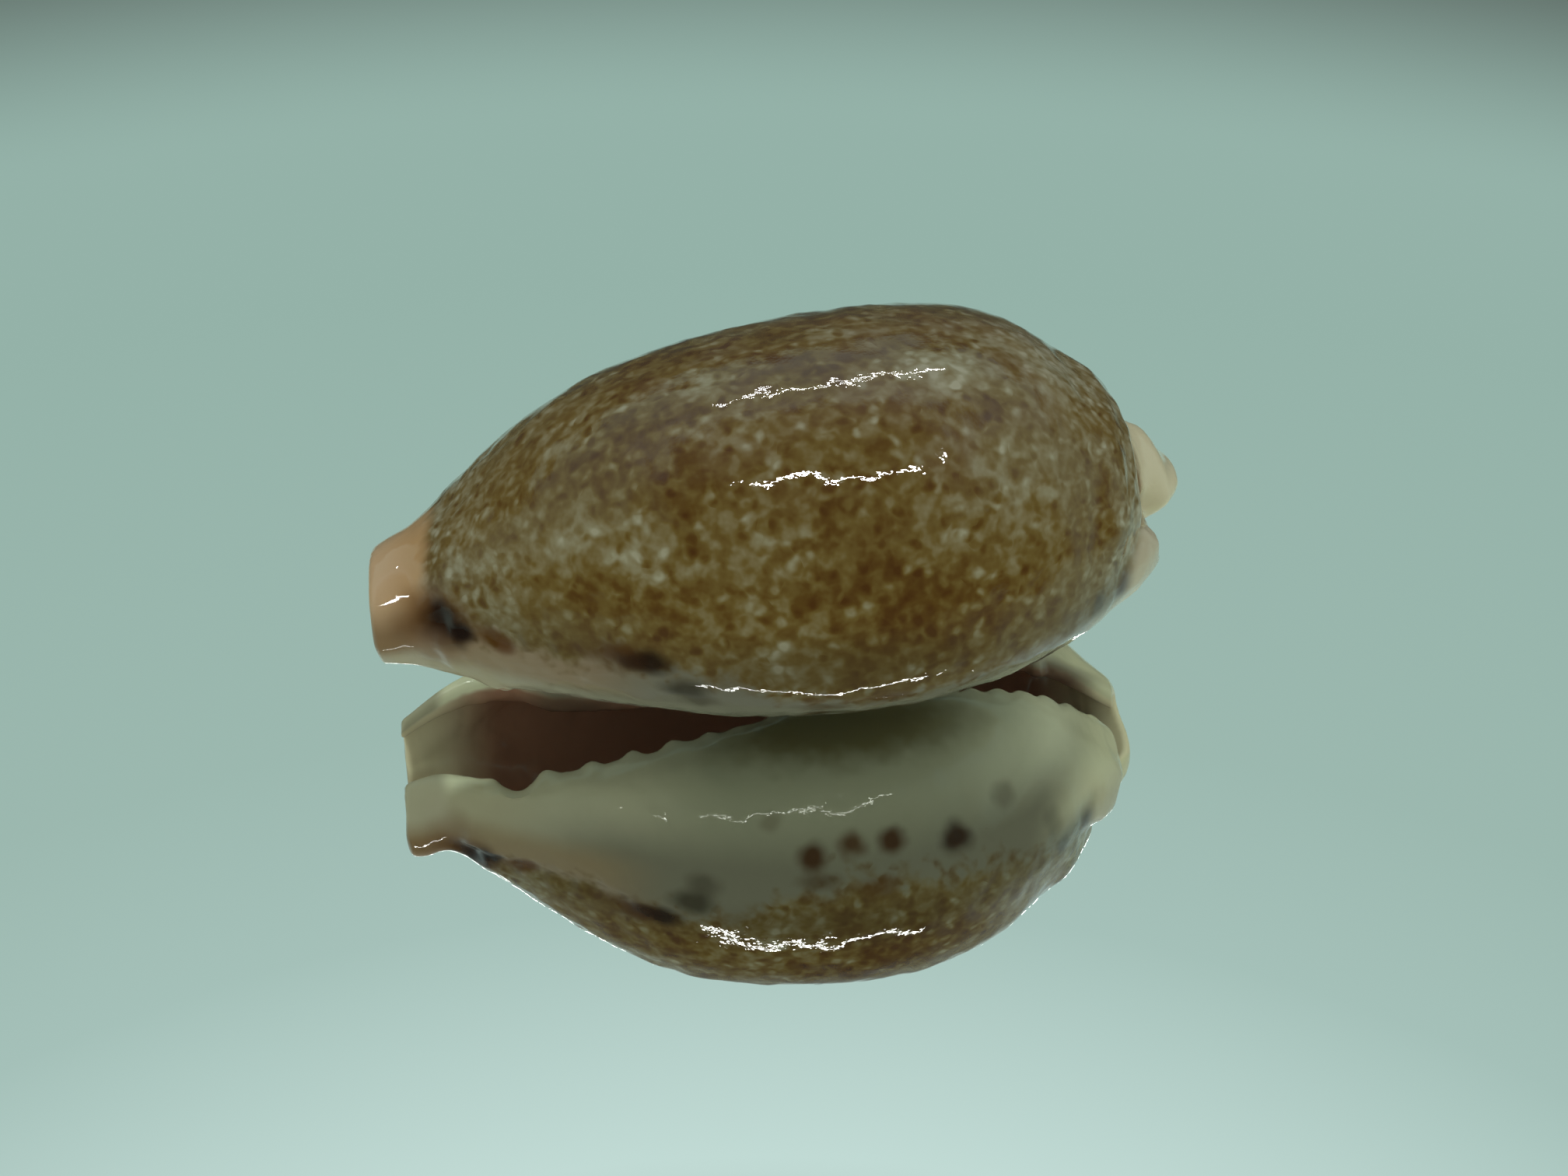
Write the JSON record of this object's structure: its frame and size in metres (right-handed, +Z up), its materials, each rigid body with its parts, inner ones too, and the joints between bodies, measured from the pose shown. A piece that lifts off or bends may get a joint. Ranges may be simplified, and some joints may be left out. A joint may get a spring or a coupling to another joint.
{
  "type": "cowrie shell",
  "caption": "Small glossy egg-shaped sea shell, hollow, with a toothed slit along its flat base, a short open spout at the front and a blunt lipped spire end.",
  "frame": {"origin": "centre of the object's box at the level of the surface that the base rests on", "axes": "-X towards the front (siphon) end, +X towards the spire end, +Z up through the crown, +Y towards the outer lip"},
  "size_m": [0.0302, 0.0178, 0.0131],
  "materials": {
    "porcelain": "gloss"
  },
  "bodies": {
    "root": {"shell": "porcelain"}
  },
  "joints": []
}
